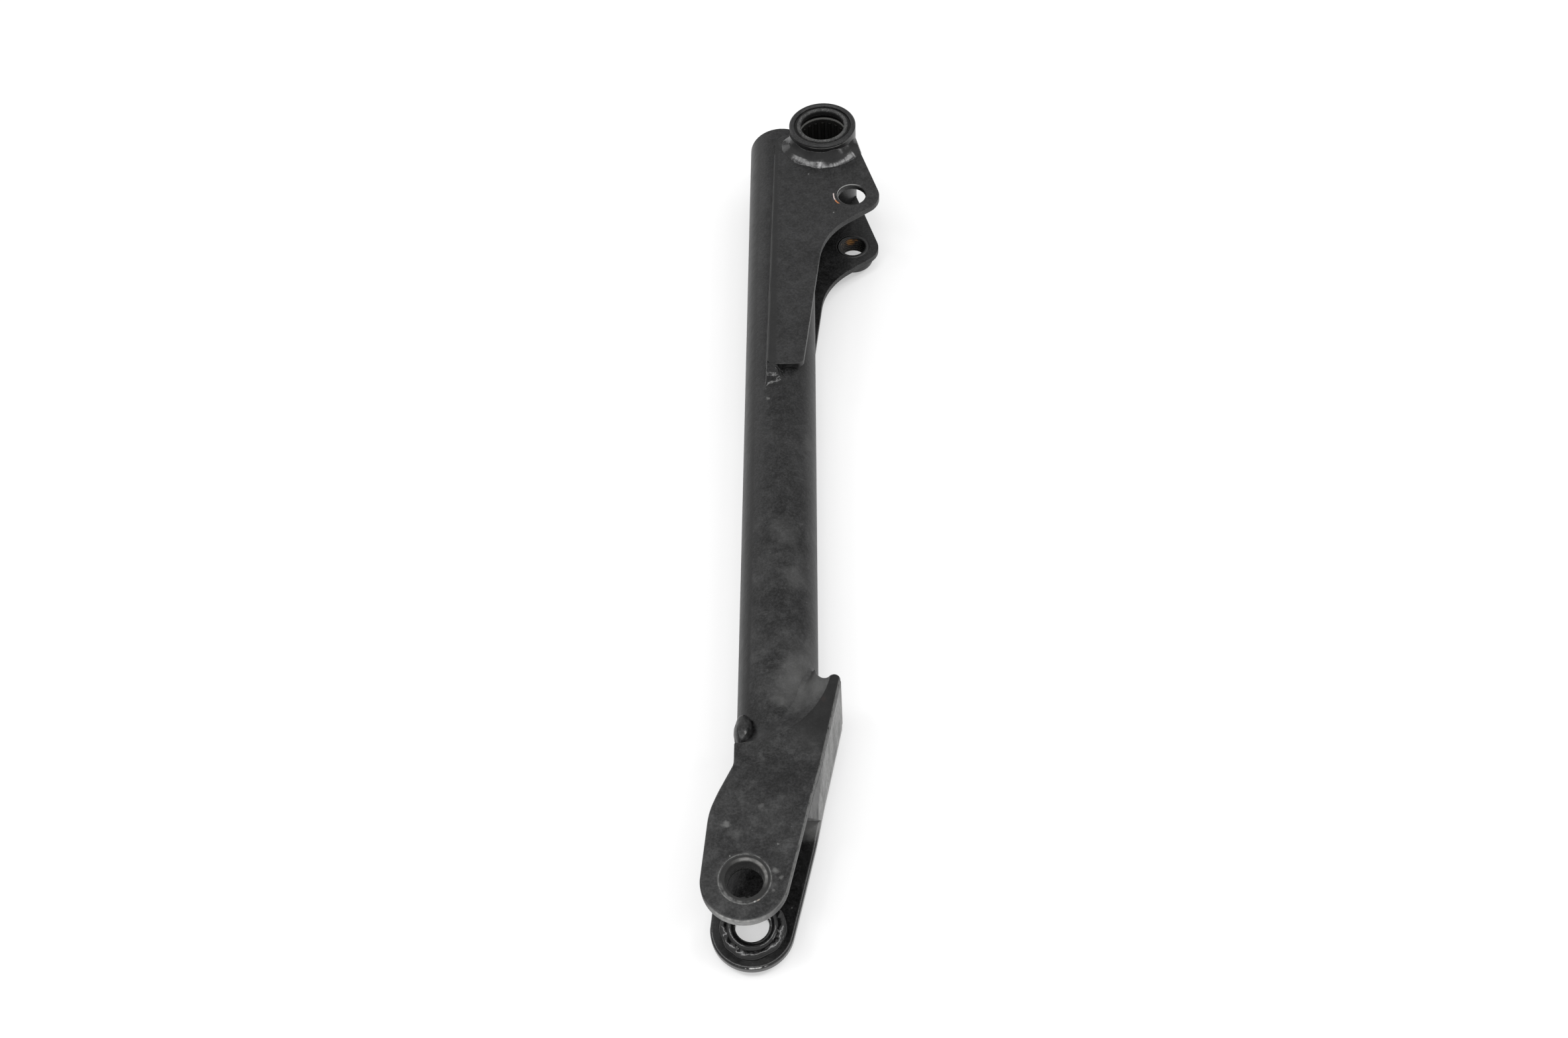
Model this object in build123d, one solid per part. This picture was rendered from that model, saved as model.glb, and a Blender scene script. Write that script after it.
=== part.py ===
from build123d import *
import os
from math import asin, cos, degrees

# A welded steel stand leg: a round tube with a sealed needle-bearing pivot and a pair of
# side plates at its top, and an open fork at its foot end.  Millimetres.
# The origin is the middle of the pivot bore.  Z runs along the bore, Y runs up the leg
# towards the pivot, X runs from the tube towards the ears of the side plates.

# ---- leg tube ----
tube_od = 30.0
tube_wall = 3.0
tube_x = -19.8             # tube axis, beside the pivot
tube_top_y = 10.9
tube_foot_y = -325.0

# ---- pivot boss and what it holds ----
shaft_od = 20.0            # the pivot shaft that the leg turns on
bearing_section = 3.0      # shaft to housing, radial
boss_wall = 2.4
boss_length = 52.0
boss_mouth_chamfer = 0.5
boss_rim_round = 0.6
seal_length = 4.0
seal_recess = 0.2          # the seal sits just inside the boss's mouth
seal_lip_length = 1.2
seal_lip_gap = 0.02        # radial, on the pivot shaft
seal_to_bearing_gap = 1.0
bearing_gap = 1.6          # between the two bearings
shell_wall = 0.95
shell_lip = 0.9            # thickness of the turned-in ends
shell_lip_clearance = 0.7  # turned-in end to shaft, radial
cage_wall = 1.2
cage_end_gap = 0.15
needle_count = 20
cage_rim = 1.55            # cage left at each end of a pocket
needle_gap = 0.04          # needle to raceway, radial
pocket_gap = 0.04          # needle to cage, all round

# ---- side plates, seen along Z ----
plate_t = 2.5
ear_hole_x = 12.8
ear_hole_y = -38.6
ear_hole_d = 12.5
ear_hole_chamfer = 0.6
ear_round = 10.0
ear_edge_top = (14.15, 0.7)  # the ear's long edge runs up into the boss
ear_tip = (26.7, -43.5)    # where the ear's two edges would meet
lower_ear_trim = 0.5       # the lower ear is cut this much closer to its hole
throat = (-0.4, -62.6)    # where the ear's lower edge would meet the taper
throat_round = 32.0
taper_foot_x = -9.5
plate_foot_y = -140.0
foot_round = 3.0
plate_left_top_x = -22.0
plate_left_foot_x = -24.5
plate_left_round = 6.0
plate_top_y = 3.0

# ---- weld nut under the lower ear ----
nut_od = 18.8
nut_flange_t = 5.8
nut_pilot_d = 15.0
nut_thread_d = 10.8        # crest of an M12 fine thread
nut_thread_chamfer = 0.4

# ---- fork ----
fork_t = 4.0
fork_gap = 37.4            # between the flanges at the pin
fork_neck_gap = tube_od    # between the flanges where they grip the tube
joggle_top_y = -326.0
joggle_foot_y = -340.0
joggle_round = 18.0
pin_x = -29.2
pin_y = -371.6
fork_end_r = 15.0
fork_corner = (4.3, -290.1)
fork_edge_bulge = 0.4
fork_corner_round = 2.2
fork_edge_round = 1.0
fork_mouth_end = (0.3, -291.5)
fork_left_inset = 0.6      # the flange's free edge, inside the tube's outline
fork_left_bend_y = -327.0
fork_left_round = 9.0
fork_left_run = 8.2        # straight free edge above the bend
fork_hip = (-42.0, -347.0)
fork_hip_round = 26.0
fork_mouth_sag = 8.0       # depth of the curved top edge below its chord
web_t = 4.0
web_top_y = -297.0
web_crown = 10.8
web_foot_upper_y = -348.0
web_foot_lower_y = -331.0

# ---- bushes in the fork flanges ----
pin_d = 12.1
bush_od = 18.2
bush_stand = 2.0           # how far a bush stands into the fork gap
bush_mouth_chamfer = 1.2
bush_inner_chamfer = 0.5

# ---- weld beads ----
boss_weld_height = 6.6
boss_weld_width = 4.8
boss_weld_start = 172.0    # degrees round the boss
boss_weld_arc = 174.0
boss_weld_lap = 1.4        # how far its end stands out where it laps round the plate's edge
boss_weld_lap_y = -9.5
boss_weld_lap_arc = 10.0   # degrees that the lap runs on past the fillet's end
rear_weld_leg = 3.0
rear_weld_start = 132.0
rear_weld_arc = 36.0
seam_weld_leg = 3.4
seam_weld_top_y = -9.0
seam_weld_foot_y = -148.0
toe_weld_width = 5.0
bead_root = 7.0            # how far a bead's blank reaches under the tube's crown
bead_gap = 0.3             # a bead stops this far under the face it climbs to
fork_weld_width = 9.0
fork_weld_depth = 11.0
fork_weld_rise = 7.5       # top of the bead above the flange's corner
fork_weld_reach = 21.0     # how far the bead stands from the tube's axis on the free side
fork_weld_scoop_r = 5.0    # hollow of the bead between the tube and the flange's corner
fork_weld_scoop_shift = 0.6
weld_stop_length = 11.5
weld_stop_r = 3.7
weld_stop_stand = 1.2      # how far the stop stands out past the flange
weld_stop_sink = 2.2       # how far the stop's middle lies under the tube's crown
nut_weld_leg = 2.0
bush_weld_leg = 1.9

# ---- worked out from the above ----
tube_r = tube_od / 2
housing_bore = shaft_od + 2 * bearing_section
boss_r = housing_bore / 2 + boss_wall
plate_outer_z = tube_r + plate_t
far_out = 200.0            # longer than any cut needs to be
seal_face_z = boss_length / 2 - seal_recess
bearing_face_z = seal_face_z - seal_length - seal_to_bearing_gap
bearing_length = bearing_face_z - bearing_gap / 2
needle_length = bearing_length - 2 * (shell_lip + cage_end_gap + cage_rim)
fork_left_top_y = fork_left_bend_y + fork_left_run
fork_left_x = tube_x - tube_r + fork_left_inset
race_r = housing_bore / 2 - shell_wall
needle_r = (race_r - shaft_od / 2 - 0.07 - needle_gap) / 2
needle_pitch_r = race_r - needle_gap - needle_r


def rounded_polygon(corners):
    """A flat face from (x, y, corner radius) points."""
    face = make_face(Polyline([(x, y) for x, y, r in corners], close=True))
    for x, y, r in corners:
        if r:
            face = fillet(face.vertices().sort_by_distance((x, y, 0))[0], r)
    return face


def slab(face, z_low, z_high):
    """A flat face made solid between two heights."""
    return Pos(0, 0, z_low) * extrude(face, z_high - z_low)


def along_y(radius, y_low, y_high):
    """A round bar on the tube's axis."""
    bar = Cylinder(radius, y_high - y_low, align=(Align.CENTER, Align.CENTER, Align.MIN))
    return Pos(tube_x, y_low, 0) * Rot(-90, 0, 0) * bar


def ring(outer_d, inner_d, z_low, z_high, x=0.0, y=0.0):
    """A plain ring about an axis along Z."""
    height = z_high - z_low
    body = Cylinder(outer_d / 2, height) - Cylinder(inner_d / 2, height + 1)
    return Pos(x, y, (z_low + z_high) / 2) * body


def turned(profile, x=0.0, y=0.0, start=0.0, arc=360.0):
    """A turned piece: (radius, z) points spun about an axis along Z."""
    face = make_face(Plane.XZ * Polyline([(r, z) for r, z in profile], close=True))
    return Pos(x, y, 0) * Rot(0, 0, start) * revolve(face, Axis.Z, revolution_arc=arc)


def lower(piece):
    """The same piece on the lower side of the leg."""
    return mirror(piece, about=Plane.XY)


# ---- outlines ----

def side_plate_outline(trim=0.0):
    """The side plate seen along Z, before the boss is let in."""
    return rounded_polygon([
        (plate_left_top_x, plate_top_y, plate_left_round),
        (-boss_r * 0.6, plate_top_y, 0),
        (-boss_r * 0.6, ear_edge_top[1], 0),
        (ear_edge_top[0] - trim, ear_edge_top[1], 0),
        (ear_tip[0] - trim, ear_tip[1] + trim, ear_round - trim),
        (throat[0], throat[1], throat_round),
        (taper_foot_x, plate_foot_y, foot_round),
        (plate_left_foot_x, plate_foot_y, foot_round),
    ])


def fork_right_edge(inset=0.0):
    """The long edge of a flange, slightly bowed, from its top corner to the end round."""
    start = Vector(*fork_corner)
    lean = asin(fork_end_r / (Vector(pin_x, pin_y) - start).length)
    centre_dir = (Vector(pin_x, pin_y) - start).normalized()
    line_dir = centre_dir.rotate(Axis.Z, degrees(lean))
    finish = start + line_dir * ((Vector(pin_x, pin_y) - start).length * cos(lean))
    outward = line_dir.rotate(Axis.Z, 90)
    middle = (start + finish) / 2 + outward * fork_edge_bulge
    shift = outward * -inset
    return start + shift, middle + shift, finish + shift


def fork_outline():
    """A fork flange seen along Z."""
    start, middle, finish = fork_right_edge()
    left_end = (pin_x - fork_end_r, pin_y)
    left_top = (fork_left_x, fork_left_top_y)
    left_side = FilletPolyline(
        left_end, fork_hip, (fork_left_x, fork_left_bend_y), left_top,
        radius=[fork_hip_round, fork_left_round])
    edge = ThreePointArc(start, middle, finish)
    end = ThreePointArc(finish, (pin_x, pin_y - fork_end_r), left_end)
    brow = Line(fork_mouth_end, start)
    face = make_face([left_side, fork_mouth(), brow, edge, end])
    return fillet(face.vertices().sort_by_distance(start)[0], fork_corner_round)


def fork_mouth():
    """The curved top edge of a flange, from its free side towards the web."""
    left_top = Vector(fork_left_x, fork_left_top_y)
    chord = Vector(*fork_mouth_end) - left_top
    sag = chord.normalized().rotate(Axis.Z, -90) * fork_mouth_sag
    return ThreePointArc(left_top, left_top + chord / 2 + sag, left_top + chord)


# ---- structure ----

def web_region(inset_near, inset_far):
    """A strip that follows the flange's long edge, between two insets from it."""
    outer = fork_right_edge(inset_near)
    inner = fork_right_edge(inset_far)
    return make_face([
        ThreePointArc(*outer), Line(outer[2], inner[2]),
        ThreePointArc(inner[2], inner[1], inner[0]), Line(inner[0], outer[0])])


def leg_tube():
    tube = along_y(tube_r, tube_foot_y, tube_top_y)
    tube -= along_y(tube_r - tube_wall, tube_foot_y - 1, tube_top_y + 1)
    tube -= Cylinder(boss_r, boss_length)
    return tube - slab(web_region(-far_out / 4, web_t), -tube_od, tube_od)


def pivot_boss():
    half = boss_length / 2
    bore_r = housing_bore / 2
    mouth_r = bore_r + boss_mouth_chamfer
    return turned([
        (bore_r, -half + boss_mouth_chamfer), (mouth_r, -half),
        (boss_r - boss_rim_round, -half), (boss_r, -half + boss_rim_round),
        (boss_r, half - boss_rim_round), (boss_r - boss_rim_round, half),
        (mouth_r, half), (bore_r, half - boss_mouth_chamfer)])


def side_plate(hole_d, hole_chamfer, trim=0.0):
    plate = slab(side_plate_outline(trim), tube_r, plate_outer_z)
    plate -= Cylinder(boss_r, boss_length)
    plate -= Pos(ear_hole_x, ear_hole_y, 0) * Cylinder(hole_d / 2, far_out)
    if hole_chamfer:
        mouth = Cone(hole_d / 2, hole_d / 2 + hole_chamfer, hole_chamfer,
                     align=(Align.CENTER, Align.CENTER, Align.MAX))
        plate -= Pos(ear_hole_x, ear_hole_y, plate_outer_z) * mouth
    return plate


def flange_section():
    """The flange's side view: it steps out from the tube to the width of the fork gap."""
    neck = fork_neck_gap / 2
    jaw = fork_gap / 2
    top = -200.0
    foot = -420.0
    return rounded_polygon([
        (top, neck, 0), (joggle_top_y, neck, joggle_round),
        (joggle_foot_y, jaw, joggle_round), (foot, jaw, 0),
        (foot, jaw + fork_t, 0), (joggle_foot_y, jaw + fork_t, joggle_round),
        (joggle_top_y, neck + fork_t, joggle_round), (top, neck + fork_t, 0)])


def flange_blank():
    """The joggled sheet that a flange is cut from."""
    section = Plane.YZ * flange_section()
    return extrude(section, far_out, both=True)


def fork_plate():
    """A flange: the joggled sheet cut to outline, its free edges rounded."""
    plate = flange_blank() & slab(fork_outline(), 0, far_out)
    free = plate.edges().filter_by(lambda e: e.center().Y < fork_left_top_y - 1)
    rims = free.filter_by(lambda e: abs(e.tangent_at(0.5).Z) < 0.8)
    plate = fillet(rims, fork_edge_round)
    return plate - Pos(pin_x, pin_y, 0) * Cylinder(bush_od / 2, far_out)


def fork_web():
    """The strip that closes the fork's long edge between the flanges."""
    half = fork_gap / 2
    side = make_face([
        ThreePointArc((web_top_y, -half), (web_top_y + web_crown, 0), (web_top_y, half)),
        Polyline((web_top_y, half), (web_foot_upper_y, half),
                 (web_foot_lower_y, -half), (web_top_y, -half))])
    strip = slab(web_region(0, web_t), -half, half)
    strip &= extrude(Plane.YZ * side, far_out, both=True)
    sheet = flange_blank()
    return largest(strip - sheet - lower(sheet))


def fork_bush():
    face_z = fork_gap / 2 + fork_t
    inner_z = fork_gap / 2 - bush_stand
    bore = pin_d / 2
    outer = bush_od / 2
    return turned([
        (bore, inner_z + bush_inner_chamfer), (bore + bush_inner_chamfer, inner_z),
        (outer, inner_z), (outer, face_z - 0.3), (outer - 0.3, face_z),
        (bore + bush_mouth_chamfer, face_z), (bore, face_z - bush_mouth_chamfer)],
        pin_x, pin_y)


def ear_weld_nut():
    """A piloted weld nut: its pilot fills the plate, its flange lies under it."""
    top = -tube_r
    seat = -plate_outer_z
    foot = seat - nut_flange_t
    crest = nut_thread_d / 2
    return turned([
        (crest, top - nut_thread_chamfer), (crest + nut_thread_chamfer, top),
        (nut_pilot_d / 2, top), (nut_pilot_d / 2, seat), (nut_od / 2, seat),
        (nut_od / 2, foot + 0.8), (nut_od / 2 - 0.8, foot),
        (crest + nut_thread_chamfer, foot), (crest, foot + nut_thread_chamfer)],
        ear_hole_x, ear_hole_y)


# ---- bearings and seals ----

def bearing_shell():
    """A drawn cup with both ends turned in."""
    top = bearing_face_z
    foot = top - bearing_length
    outer = housing_bore / 2
    lip_r = shaft_od / 2 + shell_lip_clearance
    corner = 0.5
    return turned([
        (outer, foot + corner), (outer - corner, foot), (lip_r, foot), (lip_r, foot + shell_lip),
        (race_r, foot + shell_lip), (race_r, top - shell_lip), (lip_r, top - shell_lip),
        (lip_r, top), (outer - corner, top), (outer, top - corner)])


def bearing_middle_z():
    return bearing_face_z - bearing_length / 2


def bearing_cage():
    """A ring with one pocket for each needle."""
    length = bearing_length - 2 * shell_lip - 2 * cage_end_gap
    middle = needle_pitch_r
    body = ring(2 * middle + cage_wall, 2 * middle - cage_wall, -length / 2, length / 2)
    pocket = Box(4 * cage_wall, 2 * (needle_r + pocket_gap), needle_length + 2 * pocket_gap)
    body -= PolarLocations(middle, needle_count) * pocket
    return Pos(0, 0, bearing_middle_z()) * body


def bearing_needles():
    """The needles, each a solid of its own in its pocket."""
    needle = Cylinder(needle_r, needle_length)
    needle = chamfer(needle.edges().filter_by(GeomType.CIRCLE), 0.25)
    spots = PolarLocations(needle_pitch_r, needle_count)
    return Compound([Pos(0, 0, bearing_middle_z()) * spot * needle for spot in spots])


def seal():
    """A rubber ring with a rounded face and a lip that runs on the shaft."""
    top = seal_face_z
    foot = top - seal_length
    outer = housing_bore / 2
    lip_r = shaft_od / 2 + seal_lip_gap
    lip_top = top - 1.3
    crown = ThreePointArc((outer, top - 1.0), ((outer + lip_r) / 2, top), (lip_r, lip_top))
    body = Polyline((lip_r, lip_top), (lip_r, lip_top - seal_lip_length),
                    (lip_r + 1.1, foot), (outer, foot), (outer, top - 1.0))
    return revolve(Plane.XZ * make_face([crown, body]), Axis.Z)


# ---- weld beads ----

def boss_fillet(trim=0.0):
    """The fillet between the boss and the side plate."""
    foot = plate_outer_z
    top = foot + boss_weld_height
    toe = boss_r + boss_weld_width
    waist = (boss_r + 0.32 * boss_weld_width, foot + 0.42 * boss_weld_height)
    bead = turned([(boss_r, foot), (boss_r, top), waist, (toe, foot)],
                  start=boss_weld_start, arc=boss_weld_arc)
    return bead & slab(side_plate_outline(trim), foot, top + 1)


def boss_weld():
    """The upper fillet: its end laps round the plate's edge."""
    foot = plate_outer_z
    lap_r = boss_r + boss_weld_lap
    toe = boss_r + boss_weld_width
    end = boss_weld_start + boss_weld_arc
    lap = turned([(boss_r, tube_r), (boss_r, foot + boss_weld_lap), (lap_r, foot), (lap_r, tube_r)],
                 start=end - boss_weld_lap_arc, arc=2 * boss_weld_lap_arc)
    lap += turned([(boss_r, tube_r), (boss_r, foot + boss_weld_height), (toe, foot), (toe, tube_r)],
                  start=end - 2 * boss_weld_lap_arc, arc=2 * boss_weld_lap_arc)
    beside = rounded_polygon([
        (0, boss_r, 0), (lap_r, boss_r, 0), (lap_r, boss_weld_lap_y, boss_weld_lap),
        (0, boss_weld_lap_y, 0)])
    lap &= slab(beside, tube_r, foot + boss_weld_lap)
    return largest(boss_fillet() + (lap - slab(side_plate_outline(), tube_r, foot)))


def rear_boss_weld():
    """The fillet between the boss and the coped top of the tube."""
    top = tube_r + rear_weld_leg
    bead = turned([
        (boss_r, 0.5), (boss_r, top), (boss_r + rear_weld_leg, tube_r - 1),
        (boss_r + rear_weld_leg, 0.5)],
        start=rear_weld_start, arc=rear_weld_arc)
    bead -= along_y(tube_r, -far_out, tube_top_y)
    bead -= slab(side_plate_outline(), tube_r, plate_outer_z)
    reach = Pos(tube_x, 0, 0) * Box(tube_od, 2 * tube_top_y, 4 * tube_od)
    return largest(bead & reach)


def largest(piece):
    return piece.solids().sort_by(SortBy.VOLUME)[-1]


def plate_left_x(y):
    """The side plate's left edge at a height along the leg."""
    share = (plate_top_y - y) / (plate_top_y - plate_foot_y)
    return plate_left_top_x + (plate_left_foot_x - plate_left_top_x) * share


def seam_weld():
    """The fillet between the side plate's left edge and the tube."""
    top_x = plate_left_x(seam_weld_top_y)
    foot_x = plate_left_x(plate_foot_y)
    run = Vector(foot_x - top_x, plate_foot_y - seam_weld_top_y, 0)
    section = make_face(Polyline(
        (top_x, seam_weld_top_y, tube_r / 2),
        (top_x, seam_weld_top_y, plate_outer_z - bead_gap),
        (top_x - seam_weld_leg, seam_weld_top_y, tube_r / 2), close=True))
    return largest(extrude(section, run.length, dir=run) - long_tube())


def toe_weld():
    """The end of the seam bead, which fades out below the side plate's foot."""
    left = plate_left_x(plate_foot_y)
    section = Plane.YZ * make_face(Polyline(
        (plate_foot_y, tube_r - bead_root), (plate_foot_y, plate_outer_z - bead_gap),
        (seam_weld_foot_y, tube_r - 0.4), (seam_weld_foot_y, tube_r - bead_root), close=True))
    bead = Pos(left - 0.6, 0, 0) * extrude(section, toe_weld_width)
    return largest(bead - long_tube())


def fork_weld():
    """The bead that builds up from the tube to the curved top edge of a flange."""
    mouth = fork_mouth()
    centre = mouth.arc_center
    edge_r = mouth.radius
    crown = tube_r
    foot = crown - fork_weld_depth
    bead = turned([
        (edge_r, foot), (edge_r, crown + fork_t - bead_gap),
        (edge_r - fork_weld_width, crown), (edge_r - fork_weld_width, foot)],
        centre.X, centre.Y)
    end_x, end_y = fork_mouth_end
    top_y = end_y + fork_weld_rise
    band = make_face(Polyline(
        (fork_left_x, top_y), (fork_left_x, fork_left_top_y - 1),
        (end_x, fork_left_top_y - 1), (end_x, top_y), close=True))
    scoop = Pos(end_x - fork_weld_scoop_shift, end_y + fork_weld_scoop_r, 0) * Cylinder(fork_weld_scoop_r, far_out)
    free_side = Pos(tube_x - far_out / 2, 0, 0) * Box(far_out, far_out * 4, far_out)
    far_corner = free_side - along_y(fork_weld_reach, -far_out * 2, far_out)
    bead = (bead & slab(band, 0, tube_od)) - scoop - far_corner - long_tube()
    return largest(bead - fork_web() - fork_plate() - stop_blank())


def stop_blank():
    """A round-ended lump of weld along the tube's free side."""
    lump = Rot(90, 0, 0) * Cylinder(weld_stop_r, weld_stop_length)
    lump = fillet(lump.edges().filter_by(GeomType.CIRCLE), weld_stop_r * 0.9)
    stop_x = fork_left_x + weld_stop_r - weld_stop_stand
    return Pos(stop_x, fork_left_top_y + weld_stop_length / 2 + 0.4, tube_r - weld_stop_sink) * lump


def fork_weld_stop():
    """The rounded stop of the fork bead, at the tube's free side."""
    return largest(stop_blank() - long_tube() - fork_plate())


def long_tube():
    """The outside of the leg tube, made long enough to cut beads with."""
    return along_y(tube_r, -far_out * 2, far_out)


def ring_fillet(inner_r, leg, z, grow):
    """A triangular bead round a round piece, on a face at height z."""
    return [(inner_r, z), (inner_r, z + grow * leg), (inner_r + leg, z)]


def nut_weld():
    return turned(ring_fillet(nut_od / 2, nut_weld_leg, -plate_outer_z, -1), ear_hole_x, ear_hole_y)


def bush_weld():
    return turned(ring_fillet(bush_od / 2, bush_weld_leg, fork_gap / 2, -1), pin_x, pin_y)


def build():
    upper = {
        "side_plate": side_plate(ear_hole_d, ear_hole_chamfer),
        "fork_plate": fork_plate(),
        "fork_bush": fork_bush(),
        "bearing_shell": bearing_shell(),
        "bearing_cage": bearing_cage(),
        "bearing_needles": bearing_needles(),
        "seal": seal(),
        "boss_weld": boss_weld(),
        "rear_boss_weld": rear_boss_weld(),
        "seam_weld": seam_weld(),
        "toe_weld": toe_weld(),
        "fork_weld": fork_weld(),
        "fork_weld_stop": fork_weld_stop(),
        "bush_weld": bush_weld(),
    }
    pieces = {
        "leg_tube": leg_tube(),
        "pivot_boss": pivot_boss(),
        "fork_web": fork_web(),
        "ear_weld_nut": ear_weld_nut(),
        "ear_nut_weld": nut_weld(),
    }
    for name, piece in upper.items():
        pieces["upper_" + name] = piece
        pieces["lower_" + name] = lower(piece)
    pieces["lower_side_plate"] = lower(side_plate(nut_pilot_d, 0, lower_ear_trim))
    pieces["lower_boss_weld"] = lower(boss_fillet(lower_ear_trim))
    return pieces


os.makedirs("parts", exist_ok=True)
for name, piece in build().items():
    export_step(piece, "parts/" + name + ".step")
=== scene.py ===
"""A welded steel stand leg for a motorcycle, dressed in paint, weld beads, rubber and dust."""
import math

import bmesh
import bpy
import numpy as np
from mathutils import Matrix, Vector, noise


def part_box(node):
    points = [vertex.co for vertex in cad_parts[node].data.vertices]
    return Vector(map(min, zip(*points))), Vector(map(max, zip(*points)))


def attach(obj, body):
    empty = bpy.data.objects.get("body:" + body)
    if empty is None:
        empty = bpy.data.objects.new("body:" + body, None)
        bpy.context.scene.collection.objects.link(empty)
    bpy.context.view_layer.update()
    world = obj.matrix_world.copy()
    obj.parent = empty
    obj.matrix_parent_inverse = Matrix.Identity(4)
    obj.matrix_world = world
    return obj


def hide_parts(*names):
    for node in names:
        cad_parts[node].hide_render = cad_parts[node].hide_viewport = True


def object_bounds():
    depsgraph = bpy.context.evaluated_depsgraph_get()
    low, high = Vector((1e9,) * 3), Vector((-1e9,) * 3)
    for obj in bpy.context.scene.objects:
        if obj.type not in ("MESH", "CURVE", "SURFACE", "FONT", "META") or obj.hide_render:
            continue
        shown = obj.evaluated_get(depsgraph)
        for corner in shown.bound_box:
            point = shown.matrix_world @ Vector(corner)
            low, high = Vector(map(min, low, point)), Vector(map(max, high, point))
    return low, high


bl_info = {
    "name": "Stand leg",
    "version": (1, 0, 0),
    "blender": (4, 5, 0),
    "location": "View3D > Sidebar > Stand leg",
    "description": "Builds the welds, thread, seals and finishes of a motorcycle stand leg",
    "category": "Object",
}

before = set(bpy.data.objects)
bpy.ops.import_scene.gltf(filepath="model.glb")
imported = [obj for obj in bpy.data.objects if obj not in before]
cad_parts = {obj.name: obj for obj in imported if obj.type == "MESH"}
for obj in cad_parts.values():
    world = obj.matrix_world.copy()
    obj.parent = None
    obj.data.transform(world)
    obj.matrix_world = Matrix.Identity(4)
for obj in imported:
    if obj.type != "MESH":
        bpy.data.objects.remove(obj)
cad_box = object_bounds()

MM = 0.001
LEG = "stand_leg"
SIDES = {"upper": 1, "lower": -1}


def middle(node):
    """The middle of a CAD node's box, in millimetres."""
    low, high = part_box(node)
    return (low + high) / 2 / MM


def reach(node):
    """The size of a CAD node's box, in millimetres."""
    low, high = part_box(node)
    return (high - low) / MM


# ---- sizes read from the CAD, in millimetres ----

tube_x = middle("leg_tube").x
tube_r = reach("leg_tube").x / 2
boss_r = reach("pivot_boss").x / 2
boss_half = reach("pivot_boss").z / 2
plate_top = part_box("upper_side_plate")[1].z / MM
bead_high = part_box("upper_boss_weld")[1].z / MM
bead_wide = -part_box("upper_boss_weld")[0].y / MM - boss_r
nut_middle = middle("ear_weld_nut")
nut_r = reach("ear_weld_nut").x / 2
nut_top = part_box("ear_weld_nut")[1].z / MM
nut_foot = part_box("ear_weld_nut")[0].z / MM
pin_middle = middle("upper_fork_bush")
bush_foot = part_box("upper_fork_bush")[0].z / MM
stop_middle = middle("upper_fork_weld_stop")
stop_reach = reach("upper_fork_weld_stop")
bush_r = reach("upper_fork_bush").x / 2
flange_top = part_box("upper_fork_plate")[1].z / MM
seal_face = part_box("upper_seal")[1].z / MM
seal_r = reach("upper_seal").x / 2
seal_long = reach("upper_seal").z
needle_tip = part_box("upper_bearing_needles")[1].z / MM
tube_side = tube_x + tube_r

# ---- sizes that the CAD's boxes don't give, in millimetres ----

pin_bore_r = 6.05
nut_pilot_r = 7.5
nut_mouth = 0.4
seal_bore_r = 10.02
strip_corner_r = 4.0

# The ear's long edge runs up into the boss: x = edge_at_axis - edge_lean * y.
edge_lean = 0.284
edge_at_axis = {1: 14.35, -1: 13.85}

# The curved top edge of a flange: its free end, its end by the strip and its depth.
mouth_free = Vector((-34.2, -318.8))
mouth_end = Vector((0.3, -291.5))
mouth_sag = 8.0
mouth_chord = mouth_end - mouth_free
mouth_r = (mouth_chord.length ** 2 / 4 + mouth_sag ** 2) / (2 * mouth_sag)
mouth_out = Vector((mouth_chord.y, -mouth_chord.x)).normalized()
mouth_x, mouth_y = (mouth_free + mouth_end) / 2 - mouth_out * (mouth_r - mouth_sag)

# The side plate's left edge, from its top to its foot.
seam_top = Vector((-22.0, 3.0))
seam_foot = Vector((-24.5, -140.0))


# ---- what a user would change ----

class StandLegPaint(bpy.types.PropertyGroup):
    """The black paint and what has settled on it."""
    colour: bpy.props.FloatVectorProperty(
        name="Paint colour", description="Colour of the black paint",
        subtype="COLOR", size=3, min=0, max=1, default=(0.0065, 0.0065, 0.0067))
    dust_colour: bpy.props.FloatVectorProperty(
        name="Dust colour", description="Colour of the dust and scuffs",
        subtype="COLOR", size=3, min=0, max=1, default=(0.15, 0.15, 0.147))
    roughness: bpy.props.FloatProperty(
        name="Paint roughness", description="Roughness of the clean paint",
        subtype="FACTOR", min=0, max=1, default=0.44)
    shine: bpy.props.FloatProperty(
        name="Paint shine", description="How strongly the clean paint mirrors the room",
        subtype="FACTOR", min=0, max=1, default=0.36)
    dust: bpy.props.FloatProperty(
        name="Dust", description="How much dust lies on the lower half of the leg",
        subtype="FACTOR", min=0, max=1, default=0.5)
    # pale edges: wear together with a painted highlight along rounded edges
    edge_wear_and_highlight: bpy.props.FloatProperty(
        name="Edge wear", description="How pale the worn edges are",
        subtype="FACTOR", min=0, max=1, default=0.40)
    edge_round: bpy.props.FloatProperty(
        name="Edge rounding", description="Radius over which the paint rounds sharp edges",
        subtype="DISTANCE", min=0, default=0.00045)


class StandLegWelds(bpy.types.PropertyGroup):
    """The weld beads."""
    ripple_pitch: bpy.props.FloatProperty(
        name="Ripple pitch", description="Distance from one weld ripple to the next",
        subtype="DISTANCE", min=0.0005, default=0.0021)
    ripple_height: bpy.props.FloatProperty(
        name="Ripple height", description="Height of the ripples on a bead",
        subtype="DISTANCE", min=0, default=0.000006)
    skin_voxel: bpy.props.FloatProperty(
        name="Skin fineness", description="Grid size of the fork bead's smoothed skin",
        subtype="DISTANCE", min=0.0002, default=0.0004)


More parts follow.
